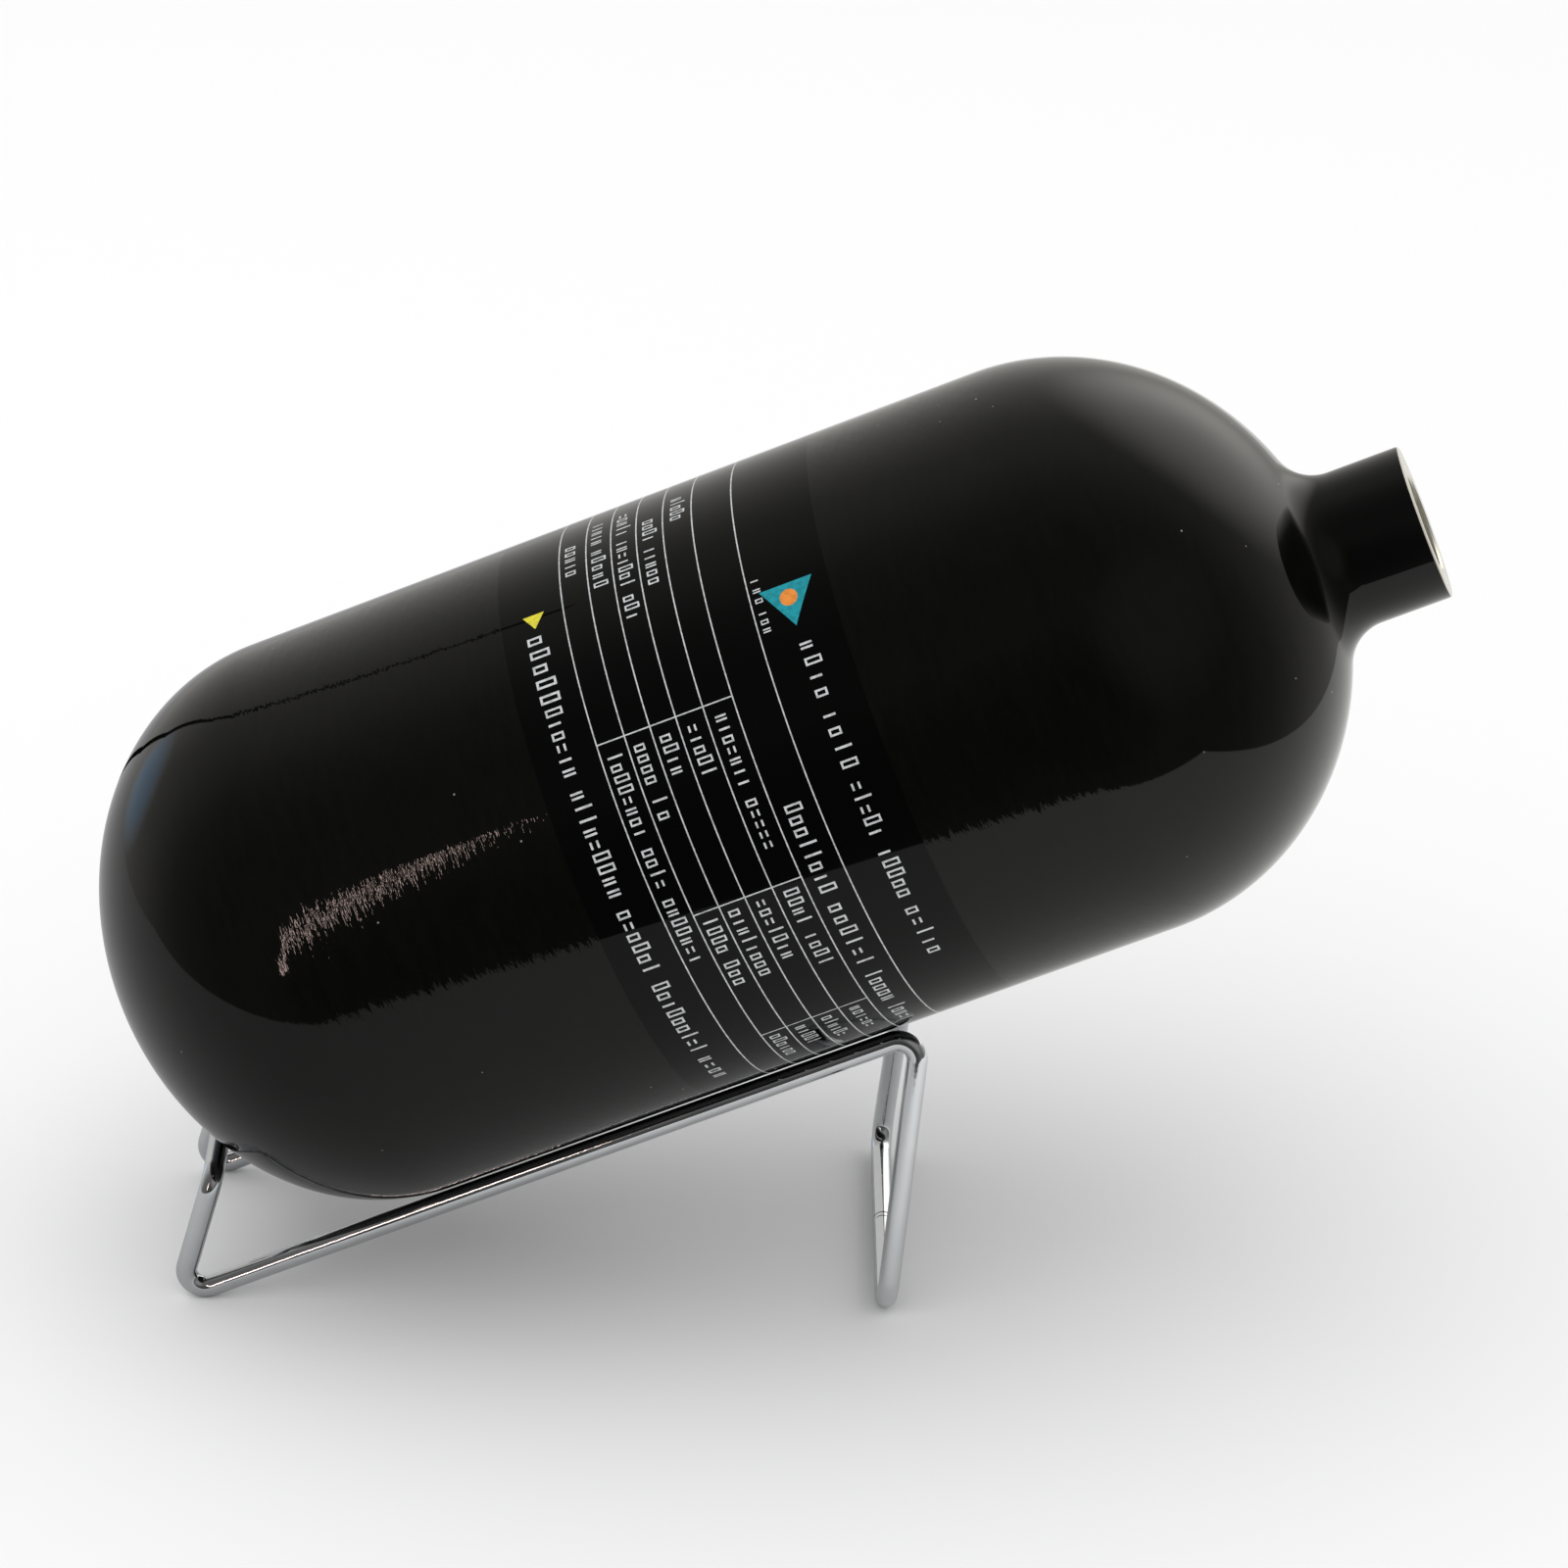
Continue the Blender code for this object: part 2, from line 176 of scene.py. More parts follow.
def make_wound_lacquer():
    """Black polyurethane lacquer sprayed over a filament-wound glass overwrap.

    The wet coat gives a mirror gloss. On the barrel the hoop-wound strands show
    through it as fine ridges round the body, which break a lamp up into streaks,
    and a slanting trace of the layer below crosses them. Over the domes the coat
    flows smooth, with a faint long ripple. A few specks of dust lie on it.
    """
    material, tree = new_material("black lacquer over wound glass fibre")
    at = on_cylinder(tree)
    parts = add_node(tree, "ShaderNodeSeparateXYZ", None, {"Vector": at})
    # Strands lie 1 to 2 mm apart along the axis and wander slowly round the body.
    strand_place = add_node(tree, "ShaderNodeVectorMath", {"operation": "MULTIPLY"}, {
        0: at, 1: (120.0, 120.0, 560.0)
    })
    strands = add_node(tree, "ShaderNodeTexNoise", None, {
        "Vector": strand_place, "Scale": 1.0, "Detail": 3.0, "Roughness": 0.65
    })
    # The layer below is wound at 35 degrees, its strands 2 mm apart.
    turn = add_node(tree, "ShaderNodeMath", {"operation": "ARCTAN2"}, {
        0: parts.outputs["Y"], 1: parts.outputs["X"]
    })
    unrolled = add_node(tree, "ShaderNodeCombineXYZ", None, {"X": turn, "Y": parts.outputs["Z"]})
    slanted = add_node(tree, "ShaderNodeMapping", None, {
        "Vector": unrolled, "Rotation": (0.0, 0.0, math.radians(-35.0)), "Scale": (BARREL_RADIUS, 1.0, 1.0)
    })
    drawn_out = add_node(tree, "ShaderNodeVectorMath", {"operation": "MULTIPLY"}, {
        0: slanted, 1: (25.0, 480.0, 1.0)
    })
    lower = add_node(tree, "ShaderNodeTexNoise", {"noise_dimensions": "2D"}, {
        "Vector": drawn_out, "Scale": 1.0
    })
    both = add_node(tree, "ShaderNodeMath", {"operation": "MULTIPLY_ADD"}, {0: lower, 1: 0.25, 2: strands})
    # The ridges fade out where the barrel runs into each dome.
    barrel_in = add_node(tree, "ShaderNodeMapRange", {"interpolation_type": "SMOOTHSTEP"}, {
        "Value": parts.outputs["Z"], "From Min": 40.0 * MM, "From Max": 62.0 * MM
    })
    barrel_out = add_node(tree, "ShaderNodeMapRange", {"interpolation_type": "SMOOTHSTEP"}, {
        "Value": parts.outputs["Z"], "From Min": 250.0 * MM, "From Max": 228.0 * MM, "To Max": 0.7
    })
    on_barrel = add_node(tree, "ShaderNodeMath", {"operation": "MULTIPLY"}, {0: barrel_in, 1: barrel_out})
    ridges = add_node(tree, "ShaderNodeMath", {"operation": "MULTIPLY"}, {0: both, 1: on_barrel})
    ripple = add_node(tree, "ShaderNodeTexNoise", None, {
        "Vector": at, "Scale": 26.0, "Detail": 1.0, "Roughness": 0.4
    })
    long_wave = add_node(tree, "ShaderNodeBump", None, {"Distance": 0.2 * MM, "Height": ripple})
    surface = add_node(tree, "ShaderNodeBump", None, {
        "Distance": 0.1 * MM, "Height": ridges, "Normal": long_wave
    })
    # The black is a shade uneven where the strands lie nearer the surface.
    depth = add_node(tree, "ShaderNodeMapRange", None, {"Value": strands, "From Min": 0.3, "From Max": 0.7})
    black = add_node(tree, "ShaderNodeMix", {"data_type": "RGBA"}, {
        0: depth, 6: linear("#040403"), 7: linear("#070706")
    })
    # About one cell of 6 mm in five holds a speck of dust, 0.5 mm across.
    cells = add_node(tree, "ShaderNodeTexVoronoi", None, {"Vector": at, "Scale": 170.0})
    chance = add_node(tree, "ShaderNodeSeparateColor", None, {"Color": cells.outputs["Color"]})
    lucky = add_node(tree, "ShaderNodeMath", {"operation": "GREATER_THAN"}, {
        0: chance.outputs["Red"], 1: 0.82
    })
    near = add_node(
        tree, "ShaderNodeMath", {"operation": "LESS_THAN"}, {0: cells.outputs["Distance"], 1: 0.04}
    )
    dust = add_node(tree, "ShaderNodeMath", {"operation": "MULTIPLY"}, {0: lucky, 1: near})
    colour = add_node(tree, "ShaderNodeMix", {"data_type": "RGBA"}, {
        0: dust, 6: black, 7: linear("#7c7c7a")
    })
    haze = add_node(tree, "ShaderNodeMapRange", None, {
        "Value": ripple, "From Min": 0.3, "From Max": 0.7, "To Min": 0.03, "To Max": 0.05
    })
    shader = add_node(tree, "ShaderNodeBsdfPrincipled", None, {
        "Base Color": colour, "Roughness": haze, "Normal": surface, "IOR": LACQUER_IOR
    })
    add_node(tree, "ShaderNodeOutputMaterial", None, {"Surface": shader})
    return material


def make_band_film():
    """Black polyester label film laid under a clear resin flood coat.

    The film hides the strands, so the band is a flatter and deeper black than the
    lacquer beside it, with only a little orange peel from the resin.
    """
    material, tree = new_material("black label film under clear resin")
    at = on_cylinder(tree)
    peel = add_node(tree, "ShaderNodeTexNoise", None, {"Vector": at, "Scale": 120.0, "Detail": 1.0})
    surface = add_node(tree, "ShaderNodeBump", None, {"Distance": 0.012 * MM, "Height": peel})
    smudge = add_node(tree, "ShaderNodeTexNoise", None, {"Vector": at, "Scale": 30.0, "Detail": 3.0})
    haze = add_node(tree, "ShaderNodeMapRange", None, {
        "Value": smudge, "From Min": 0.35, "From Max": 0.7, "To Min": 0.03, "To Max": 0.055
    })
    shader = add_node(tree, "ShaderNodeBsdfPrincipled", None, {
        "Base Color": linear("#030303"), "Roughness": haze, "Normal": surface, "IOR": RESIN_IOR
    })
    add_node(tree, "ShaderNodeOutputMaterial", None, {"Surface": shader})
    return material


def make_ink(name, hex_colour, hex_thin):
    """Screen ink printed on the film, under the same resin: flat colour, wet gloss.

    The ink film is thinner towards its edges and over the mesh of the screen, so
    its colour is a little uneven.
    """
    material, tree = new_material(name)
    place = add_node(tree, "ShaderNodeTexCoord")
    grain = add_node(tree, "ShaderNodeTexNoise", None, {"Vector": place.outputs["Object"], "Scale": 900.0})
    cover = add_node(tree, "ShaderNodeMapRange", None, {"Value": grain, "From Min": 0.35, "From Max": 0.6})
    colour = add_node(tree, "ShaderNodeMix", {"data_type": "RGBA"}, {
        0: cover, 6: linear(hex_thin), 7: linear(hex_colour)
    })
    shader = add_node(tree, "ShaderNodeBsdfPrincipled", None, {"Base Color": colour, "Roughness": 0.08})
    add_node(tree, "ShaderNodeOutputMaterial", None, {"Surface": shader})
    return material


def make_neck_lacquer():
    """The same black lacquer on the machined neck: gloss, with faint turning marks."""
    material, tree = new_material("black lacquer over turned aluminium")
    at = on_cylinder(tree)
    turning = add_node(tree, "ShaderNodeTexWave", {"bands_direction": "Z"}, {
        "Vector": at, "Scale": 400.0, "Distortion": 0.6, "Detail": 1.0
    })
    ripple = add_node(tree, "ShaderNodeTexNoise", None, {"Vector": at, "Scale": 70.0, "Detail": 1.0})
    long_wave = add_node(tree, "ShaderNodeBump", None, {"Distance": 0.06 * MM, "Height": ripple})
    surface = add_node(tree, "ShaderNodeBump", None, {
        "Distance": 0.0012 * MM, "Height": turning.outputs["Fac"], "Normal": long_wave
    })
    shader = add_node(tree, "ShaderNodeBsdfPrincipled", None, {
        "Base Color": linear("#050505"), "Roughness": 0.05, "Normal": surface, "IOR": LACQUER_IOR
    })
    add_node(tree, "ShaderNodeOutputMaterial", None, {"Surface": shader})
    return material


def make_turned_aluminium():
    """Bare 6061 aluminium, faced and threaded on a lathe: bright rings, soft sheen."""
    material, tree = new_material("bare turned aluminium")
    at = on_cylinder(tree)
    flat = add_node(tree, "ShaderNodeVectorMath", {"operation": "MULTIPLY"}, {0: at, 1: (1.0, 1.0, 0.0)})
    ring = add_node(tree, "ShaderNodeVectorMath", {"operation": "LENGTH"}, {0: flat})
    # Facing marks are 0.2 mm apart.
    marks = add_node(tree, "ShaderNodeTexNoise", {"noise_dimensions": "1D"}, {"W": ring, "Scale": 5000.0})
    stain = add_node(tree, "ShaderNodeTexNoise", None, {"Vector": at, "Scale": 180.0, "Detail": 3.0})
    colour = add_node(tree, "ShaderNodeMix", {"data_type": "RGBA"}, {
        0: stain, 6: linear("#d8d2c0"), 7: linear("#e6e4de")
    })
    sheen = add_node(tree, "ShaderNodeMapRange", None, {
        "Value": marks, "From Min": 0.3, "From Max": 0.7, "To Min": 0.18, "To Max": 0.34
    })
    surface = add_node(tree, "ShaderNodeBump", None, {
        "Strength": 0.6, "Distance": 0.01 * MM, "Height": marks
    })
    shader = add_node(tree, "ShaderNodeBsdfPrincipled", None, {
        "Base Color": colour, "Metallic": 1.0, "Roughness": sheen, "Normal": surface
    })
    add_node(tree, "ShaderNodeOutputMaterial", None, {"Surface": shader})
    return material


def make_spun_aluminium():
    """Liner wall of spun 6061 aluminium: dull, with the roller's rings round it."""
    material, tree = new_material("spun aluminium liner")
    at = on_cylinder(tree)
    # The roller leaves a ring about every 1.2 mm.
    rings = add_node(tree, "ShaderNodeTexWave", {"bands_direction": "Z"}, {
        "Vector": at, "Scale": 260.0, "Distortion": 1.5
    })
    surface = add_node(tree, "ShaderNodeBump", None, {
        "Strength": 0.5, "Distance": 0.03 * MM, "Height": rings.outputs["Fac"]
    })
    cloud = add_node(tree, "ShaderNodeTexNoise", None, {"Vector": at, "Scale": 40.0, "Detail": 4.0})
    colour = add_node(tree, "ShaderNodeMix", {"data_type": "RGBA"}, {
        0: cloud, 6: linear("#b4b5b6"), 7: linear("#d4d5d6")
    })
    shader = add_node(tree, "ShaderNodeBsdfPrincipled", None, {
        "Base Color": colour, "Metallic": 1.0, "Roughness": 0.38, "Normal": surface
    })
    add_node(tree, "ShaderNodeOutputMaterial", None, {"Surface": shader})
    return material


def make_winding(name, lead, dark, light, roughness):
    """Fibre tows in epoxy, wound at a lead round the vessel.

    lead is how many radians a tow turns for each metre along the axis; none winds
    it straight round. Tows are 3 mm wide and catch the light one after another.
    """
    material, tree = new_material(name)
    at = on_cylinder(tree)
    parts = add_node(tree, "ShaderNodeSeparateXYZ", None, {"Vector": at})
    if lead:
        turn = add_node(tree, "ShaderNodeMath", {"operation": "ARCTAN2"}, {
            0: parts.outputs["Y"], 1: parts.outputs["X"]
        })
        across = add_node(tree, "ShaderNodeMath", {"operation": "MULTIPLY_ADD"}, {
            0: turn, 1: 1.0 / lead, 2: parts.outputs["Z"]
        })
    else:
        across = parts.outputs["Z"]
    tows = add_node(tree, "ShaderNodeTexNoise", {"noise_dimensions": "1D"}, {
        "W": across, "Scale": 330.0, "Detail": 3.0, "Roughness": 0.65
    })
    colour = add_node(tree, "ShaderNodeMix", {"data_type": "RGBA"}, {
        0: tows, 6: linear(dark), 7: linear(light)
    })
    surface = add_node(tree, "ShaderNodeBump", None, {"Strength": 0.8, "Distance": 0.1 * MM, "Height": tows})
    shader = add_node(tree, "ShaderNodeBsdfPrincipled", None, {
        "Base Color": colour, "Roughness": roughness, "Normal": surface, "IOR": 1.55
    })
    add_node(tree, "ShaderNodeOutputMaterial", None, {"Surface": shader})
    return material


def make_chrome():
    """Bright nickel-chrome plate on drawn steel wire: mirror bright, a little wavy."""
    material, tree = new_material("bright chromed wire")
    place = add_node(tree, "ShaderNodeTexCoord")
    at = place.outputs["Object"]
    # Drawing and polishing leave a soft waviness a few millimetres long.
    wave = add_node(tree, "ShaderNodeTexNoise", None, {"Vector": at, "Scale": 210.0})
    surface = add_node(tree, "ShaderNodeBump", None, {"Distance": 0.03 * MM, "Height": wave})
    smear = add_node(tree, "ShaderNodeTexNoise", None, {"Vector": at, "Scale": 95.0, "Detail": 5.0})
    sheen = add_node(tree, "ShaderNodeMapRange", None, {
        "Value": smear, "From Min": 0.35, "From Max": 0.75, "To Min": 0.04, "To Max": 0.14
    })
    tone = add_node(tree, "ShaderNodeMix", {"data_type": "RGBA"}, {
        0: smear, 6: linear("#cfd2d6"), 7: linear("#e2e4e6")
    })
    shader = add_node(tree, "ShaderNodeBsdfPrincipled", None, {
        "Base Color": tone, "Metallic": 1.0, "Roughness": sheen, "Normal": surface
    })
    add_node(tree, "ShaderNodeOutputMaterial", None, {"Surface": shader})
    return material


# ---------------------------------------------------------------- turned pieces


def link(obj):
    """Put an object in the scene."""
    bpy.context.scene.collection.objects.link(obj)
    return obj


def finish_mesh(mesh, crease=math.radians(30.0)):
    """Merge doubles, face outwards, and shade smooth with true edges kept sharp."""
    shape = bmesh.new()
    shape.from_mesh(mesh)
    bmesh.ops.remove_doubles(shape, verts=shape.verts, dist=MERGE_DISTANCE)
    bmesh.ops.recalc_face_normals(shape, faces=shape.faces)
    shape.to_mesh(mesh)
    shape.free()
    mesh.shade_smooth()
    mesh.set_sharp_from_angle(angle=crease)


def turned(name, profile, finishes):
    """Turn a closed profile about the cylinder's axis.

    Each profile point is (radius, station, finish), and the finish is the index of
    the material on the wall that starts there.
    """
    points = []
    rows = []
    for radius, station, _ in profile:
        if radius < ON_AXIS_LIMIT:
            rows.append([len(points)] * TURN_STEPS)
            points.append((0.0, 0.0, station))
            continue
        rows.append(range(len(points), len(points) + TURN_STEPS))
        for step in range(TURN_STEPS):
            turn = 2.0 * math.pi * step / TURN_STEPS
            points.append((radius * math.cos(turn), radius * math.sin(turn), station))
    faces = []
    finish_of = []
    for index, row in enumerate(rows):
        after = rows[(index + 1) % len(rows)]
        for step in range(TURN_STEPS):
            beside = (step + 1) % TURN_STEPS
            corners = dict.fromkeys((row[step], row[beside], after[beside], after[step]))
            if len(corners) > 2:
                faces.append(tuple(corners))
                finish_of.append(profile[index][2])
    mesh = bpy.data.meshes.new(name)
    mesh.from_pydata(points, [], faces)
    mesh.polygons.foreach_set("material_index", finish_of)
    for finish in finishes:
        mesh.materials.append(finish)
    mesh.transform(ON_AXIS)
    finish_mesh(mesh)
    return link(bpy.data.objects.new(name, mesh))


def dome_arc(depth, height, middle_station, side, first, last, steps):
    """Points (radius, station) on an elliptical dome, its turn running first to last."""
    radius = BARREL_RADIUS - depth
    reach = height - depth
    turns = [first + (last - first) * step / steps for step in range(steps + 1)]
    return [(radius * math.cos(turn), middle_station + side * reach * math.sin(turn)) for turn in turns]


def shoulder_distance(radius, station):
    """Distance from a point to the shoulder dome, and the dome's turn there."""
    reaches = []
    for step in range(SEARCH_STEPS + 1):
        turn = 0.5 * math.pi * step / SEARCH_STEPS
        across = BARREL_RADIUS * math.cos(turn) - radius
        along = BARREL_END + SHOULDER_DOME_HEIGHT * math.sin(turn) - station
        reaches.append((math.hypot(across, along), turn))
    return min(reaches)


def neck_fillet_arc():
    """The fillet between neck and shoulder, neck end first, and the dome's turn after it."""
    centre_radius = NECK_RADIUS + NECK_FILLET
    low = BARREL_END + SHOULDER_DOME_HEIGHT * math.sqrt(1.0 - (centre_radius / BARREL_RADIUS) ** 2)
    high = low + 2.0 * NECK_FILLET
    for _ in range(HALVINGS):
        station = 0.5 * (low + high)
        if shoulder_distance(centre_radius, station)[0] < NECK_FILLET:
            low = station
        else:
            high = station
    dome_turn = shoulder_distance(centre_radius, station)[1]
    tangent_radius = BARREL_RADIUS * math.cos(dome_turn)
    tangent_station = BARREL_END + SHOULDER_DOME_HEIGHT * math.sin(dome_turn)
    last = math.atan2(station - tangent_station, centre_radius - tangent_radius)
    arc = []
    for step in range(FILLET_STEPS):
        turn = last * step / FILLET_STEPS
        arc.append((centre_radius - NECK_FILLET * math.cos(turn), station - NECK_FILLET * math.sin(turn)))
    return arc, dome_turn


def make_wrap(lacquer):
    """The lacquered outer wrap, smooth from the neck's root to the base's tip."""
    outside, dome_turn = neck_fillet_arc()
    outside += dome_arc(0.0, SHOULDER_DOME_HEIGHT, BARREL_END, 1.0, dome_turn, 0.0, DOME_STEPS)
    recess = BARREL_RADIUS - BAND_THICKNESS
    outside += [
        (BARREL_RADIUS, BAND_END), (recess, BAND_END), (recess, BAND_START), (BARREL_RADIUS, BAND_START)
    ]
    quarter = 0.5 * math.pi
    outside += dome_arc(0.0, BARREL_START, BARREL_START, -1.0, 0.0, quarter, DOME_STEPS)
    outside[-1] = (0.0, 0.0)
    inside = dome_arc(WALL, BARREL_START, BARREL_START, -1.0, quarter, 0.0, DOME_STEPS)
    inside[0] = (0.0, WALL)
    neck_turn = math.acos(NECK_RADIUS / (BARREL_RADIUS - WALL))
    inside += dome_arc(WALL, SHOULDER_DOME_HEIGHT, BARREL_END, 1.0, 0.0, neck_turn, DOME_STEPS)
    profile = [(radius, station, 0) for radius, station in outside + inside]
    return turned("lacquered_wrap", profile, [lacquer])


def make_band(film):
    """The label film, flush with the lacquer on both sides of it."""
    inner = BARREL_RADIUS - BAND_THICKNESS
    outside = [(BARREL_RADIUS, BAND_END, 0), (BARREL_RADIUS, BAND_START, 0)]
    inside = [(inner, BAND_START, 0), (inner, BAND_END, 0)]
    return turned("label_band", outside + inside, [film])


def make_neck(lacquer, aluminium):
    """The neck, lacquered outside and bare on its end face, seat and bore."""
    inner_end = NECK_END - NECK_SOCKET_DEPTH
    seat_floor = NECK_END - SEAT_DEPTH
    profile = [
        (NECK_RADIUS, inner_end, 1),
        (BORE_RADIUS + SEAT_CHAMFER, inner_end, 1),
        (BORE_RADIUS, inner_end + SEAT_CHAMFER, 1),
        (BORE_RADIUS, seat_floor - SEAT_CHAMFER, 1),
        (BORE_RADIUS + SEAT_CHAMFER, seat_floor, 1),
        (SEAT_RADIUS, seat_floor, 1),
        (SEAT_RADIUS, NECK_END - SEAT_CHAMFER, 1),
        (SEAT_RADIUS + SEAT_CHAMFER, NECK_END, 1),
        (NECK_RADIUS - NECK_CHAMFER, NECK_END, 1),
        (NECK_RADIUS - 0.25 * NECK_CHAMFER, NECK_END - 0.35 * NECK_CHAMFER, 0),
        (NECK_RADIUS, NECK_END - NECK_CHAMFER, 0),
    ]
    return turned("neck", profile, [lacquer, aluminium])


# ---------------------------------------------------------------- node-built pieces


def new_geometry_tree(name, sizes):
    """A geometry tree with a geometry input and output, and a named input for each size."""
    tree = bpy.data.node_groups.new(name, "GeometryNodeTree")
    tree.interface.new_socket("Geometry", in_out="INPUT", socket_type="NodeSocketGeometry")
    for label, value in sizes.items():
        kind = "NodeSocketInt" if isinstance(value, int) else "NodeSocketFloat"
        socket = tree.interface.new_socket(label, in_out="INPUT", socket_type=kind)
        socket.default_value = value
    tree.interface.new_socket("Geometry", in_out="OUTPUT", socket_type="NodeSocketGeometry")
    entry = add_node(tree, "NodeGroupInput")
    leave = add_node(tree, "NodeGroupOutput")
    return tree, entry.outputs, leave.inputs


def close_tree(tree, geometry, finish, leave):
    """End a tree with its instances realised and its material set."""
    real = add_node(tree, "GeometryNodeRealizeInstances", None, {"Geometry": geometry})
    dressed = add_node(tree, "GeometryNodeSetMaterial", None, {"Geometry": real, "Material": finish})
    tree.links.new(dressed.outputs["Geometry"], leave["Geometry"])


def grown(name, seed, tree, sizes, place=None):
    """Run a tree on a seed object and return the result as a plain mesh object."""
    link(seed)
    modifier = seed.modifiers.new(name, "NODES")
    modifier.node_group = tree
    sockets = {item.name: item.identifier for item in tree.interface.items_tree if item.in_out == "INPUT"}
    for label, value in sizes.items():
        modifier[sockets[label]] = value
    graph = bpy.context.evaluated_depsgraph_get()
    mesh = bpy.data.meshes.new_from_object(seed.evaluated_get(graph))
    mesh.name = name
    # Cube nodes leave an empty slot ahead of the real material.
    while mesh.materials[0] is None:
        mesh.materials.pop(index=0)
    bpy.data.objects.remove(seed)
    if place is not None:
        mesh.transform(place)
    return link(bpy.data.objects.new(name, mesh))


def line_mesh(name, runs, heights=None):
    """A mesh of loose edges, one for each run, each with its mark height as an attribute."""
    points = [point for run in runs for point in run]
    edges = [(index, index + 1) for index in range(0, len(points), 2)]
    mesh = bpy.data.meshes.new(name)
    mesh.from_pydata(points, edges, [])
    if heights:
        tall = mesh.attributes.new("mark_height", "FLOAT", "POINT")
        tall.data.foreach_set("value", [height for height in heights for _ in range(2)])
    return bpy.data.objects.new(name, mesh)


def wrapped(tree, geometry, radius):
    """Bend a flat drawing (X round the body, Y along it, Z out) onto the barrel."""
    position = add_node(tree, "GeometryNodeInputPosition")
    flat = add_node(tree, "ShaderNodeSeparateXYZ", None, {"Vector": position})
    turn = add_node(tree, "ShaderNodeMath", {"operation": "DIVIDE"}, {0: flat.outputs["X"], 1: radius})
    # Zero on the drawing is the top of the body, which is -X in the cylinder's frame.
    ahead = add_node(tree, "ShaderNodeMath", {"operation": "ADD"}, {0: turn, 1: math.pi})
    out = add_node(tree, "ShaderNodeMath", {"operation": "ADD"}, {0: flat.outputs["Z"], 1: radius})
    legs = []
    for operation in ("COSINE", "SINE"):
        part = add_node(tree, "ShaderNodeMath", {"operation": operation}, {0: ahead})
        legs.append(add_node(tree, "ShaderNodeMath", {"operation": "MULTIPLY"}, {0: part, 1: out}))
    bent = add_node(tree, "ShaderNodeCombineXYZ", None, {
        "X": legs[0].outputs["Value"], "Y": legs[1].outputs["Value"], "Z": flat.outputs["Y"]
    })
    return add_node(tree, "GeometryNodeSetPosition", None, {"Geometry": geometry, "Position": bent})


def open_box(height):
    """The four bars of an upright box that stands on its line."""
    sides = [(x, 0.5 * height - 0.5, 0.12, height) for x in (-0.17, 0.17)]
    return (*sides, (0.0, height - 0.56, 0.3, 0.12), (0.0, -0.44, 0.3, 0.12))


# Plain marks that stand for characters, each a set of bars given as (x, y, width,
# height) in a cell one high. The low box comes up twice as often as the others.
MARKS = (
    open_box(0.72),
    open_box(1.0),
    ((0.0, -0.14, 0.14, 0.72),),
    ((-0.13, -0.14, 0.13, 0.72), (0.13, -0.14, 0.13, 0.72)),
    open_box(0.72),
    ((0.0, 0.05, 0.42, 0.13), (0.0, -0.34, 0.42, 0.13)),
    ((0.0, 0.0, 0.14, 1.0),),
)


def make_print(runs, heights, ink):
    """Rows of plain marks, spelling nothing, that follow the band's printed lines."""
    sizes = {"Barrel radius": BARREL_RADIUS, "Pitch": MARK_PITCH, "Lift": INK_LIFT, "Body": INK_BODY}
    sizes["Seed"] = 11
    tree, entry, leave = new_geometry_tree("rows of marks", sizes)
    cells = []
    for strokes in MARKS:
        bars = add_node(tree, "GeometryNodeJoinGeometry")
        for x, y, width, height in strokes:
            bar = add_node(tree, "GeometryNodeMeshCube", None, {"Size": (width, height, 1.0)})
            placed = add_node(tree, "GeometryNodeTransform", None, {
                "Geometry": bar, "Translation": (x, y, 0.0)
            })
            tree.links.new(placed.outputs["Geometry"], bars.inputs["Geometry"])
        cells.append(add_node(tree, "GeometryNodeGeometryToInstance", None, {"Geometry": bars}))
    choice = add_node(tree, "GeometryNodeJoinGeometry")
    for cell in reversed(cells):
        tree.links.new(cell.outputs["Instances"], choice.inputs["Geometry"])
    rows = add_node(tree, "GeometryNodeMeshToCurve", None, {"Mesh": entry["Geometry"]})
    tall = add_node(tree, "GeometryNodeInputNamedAttribute", None, {"Name": "mark_height"})
    step = add_node(tree, "ShaderNodeMath", {"operation": "MULTIPLY"}, {0: tall, 1: entry["Pitch"]})
    spots = add_node(tree, "GeometryNodeResampleCurve", {"mode": "LENGTH"}, {"Curve": rows, "Length": step})
    pick = add_node(tree, "FunctionNodeRandomValue", {"data_type": "INT"}, {
        4: 0, 5: len(MARKS) - 1, "Seed": entry["Seed"]
    })
    deep = add_node(tree, "ShaderNodeCombineXYZ", None, {"X": tall, "Y": tall, "Z": entry["Body"]})
    set_marks = add_node(tree, "GeometryNodeInstanceOnPoints", None, {
        "Points": spots, "Instance": choice, "Pick Instance": True, "Instance Index": pick, "Scale": deep
    })
    flat = add_node(tree, "GeometryNodeRealizeInstances", None, {"Geometry": set_marks})
    sink = add_node(tree, "ShaderNodeMath", {"operation": "MULTIPLY_ADD"}, {
        0: entry["Body"], 1: -0.5, 2: entry["Lift"]
    })
    drop = add_node(tree, "ShaderNodeCombineXYZ", None, {"Z": sink})
    sunk = add_node(tree, "GeometryNodeSetPosition", None, {"Geometry": flat, "Offset": drop})
    close_tree(tree, wrapped(tree, sunk, entry["Barrel radius"]), ink, leave)
    return grown("printed_marks", line_mesh("mark rows", runs, heights), tree, sizes, ON_AXIS)


